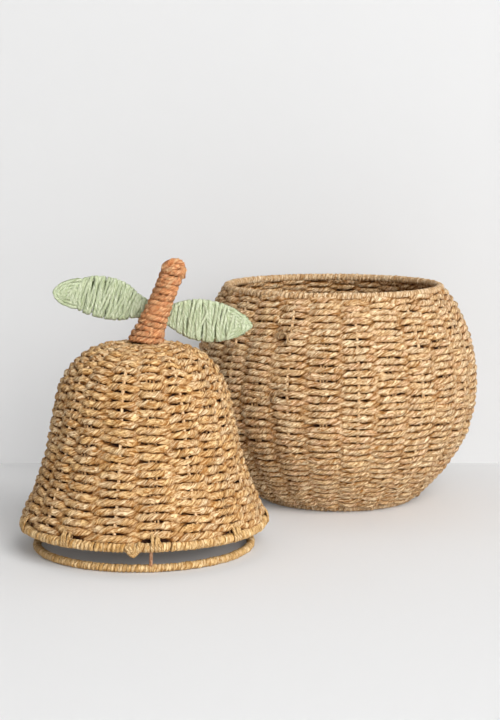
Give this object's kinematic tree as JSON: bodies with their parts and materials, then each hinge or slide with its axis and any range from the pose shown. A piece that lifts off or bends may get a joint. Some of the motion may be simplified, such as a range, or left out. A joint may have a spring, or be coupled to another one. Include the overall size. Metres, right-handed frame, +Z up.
{
  "type": "lidded basket",
  "caption": "Pear-shaped lidded basket of woven paper rope on a wire frame, with its lid taken off and standing beside it.",
  "frame": {"origin": "centre of the basket's flat base, on the floor", "axes": "+Z up, -Y towards the front that the picture shows, +X to the right"},
  "size_m": [0.3724, 0.3998, 0.2226],
  "materials": {
    "paper_rope": "matte",
    "bound_cord": "matte",
    "frame_wire": "satin",
    "terracotta_rope": "matte",
    "stem_filling": "matte",
    "mint_cord": "matte"
  },
  "bodies": {
    "basket": {"basket_base_weave": "paper_rope", "basket_foot_ring": "bound_cord", "basket_wall_weave": "paper_rope", "basket_rim_ring": "bound_cord", "basket_stake_01": "frame_wire", "basket_stake_02": "frame_wire", "basket_stake_03": "frame_wire", "basket_stake_04": "frame_wire", "basket_stake_05": "frame_wire", "basket_stake_06": "frame_wire", "basket_stake_07": "frame_wire", "basket_stake_08": "frame_wire", "basket_stake_09": "frame_wire", "basket_stake_10": "frame_wire", "basket_stake_11": "frame_wire", "basket_stake_12": "frame_wire", "basket_stake_13": "frame_wire", "basket_stake_14": "frame_wire", "basket_stake_15": "frame_wire", "basket_stake_16": "frame_wire", "basket_stake_17": "frame_wire", "basket_stake_18": "frame_wire", "basket_stake_19": "frame_wire", "basket_stake_20": "frame_wire", "basket_stake_21": "frame_wire", "basket_stake_22": "frame_wire", "basket_stake_23": "frame_wire", "basket_stake_24": "frame_wire", "basket_stake_25": "frame_wire", "basket_stake_26": "frame_wire"},
    "lid": {"lid_wall_weave": "paper_rope", "lid_rim_ring": "bound_cord", "lid_locating_ring": "bound_cord", "lid_post_01": "frame_wire", "lid_post_02": "frame_wire", "lid_post_03": "frame_wire", "lid_stake_01": "frame_wire", "lid_stake_02": "frame_wire", "lid_stake_03": "frame_wire", "lid_stake_04": "frame_wire", "lid_stake_05": "frame_wire", "lid_stake_06": "frame_wire", "lid_stake_07": "frame_wire", "lid_stake_08": "frame_wire", "lid_stake_09": "frame_wire", "lid_stake_10": "frame_wire", "lid_stake_11": "frame_wire", "lid_stake_12": "frame_wire", "lid_stake_13": "frame_wire", "lid_stake_14": "frame_wire", "lid_stake_15": "frame_wire", "lid_stake_16": "frame_wire", "lid_stake_17": "frame_wire", "lid_stake_18": "frame_wire", "stem_core": "stem_filling", "stem_winding": "terracotta_rope", "leaf_wire": "frame_wire", "leaf_left_winding": "mint_cord", "leaf_right_winding": "mint_cord"}
  },
  "joints": [
    {"name": "lid_lift", "type": "slide", "parent": "basket", "child": "lid", "axis": [0, 0, 1], "range_m": [0, 0.21]}
  ]
}
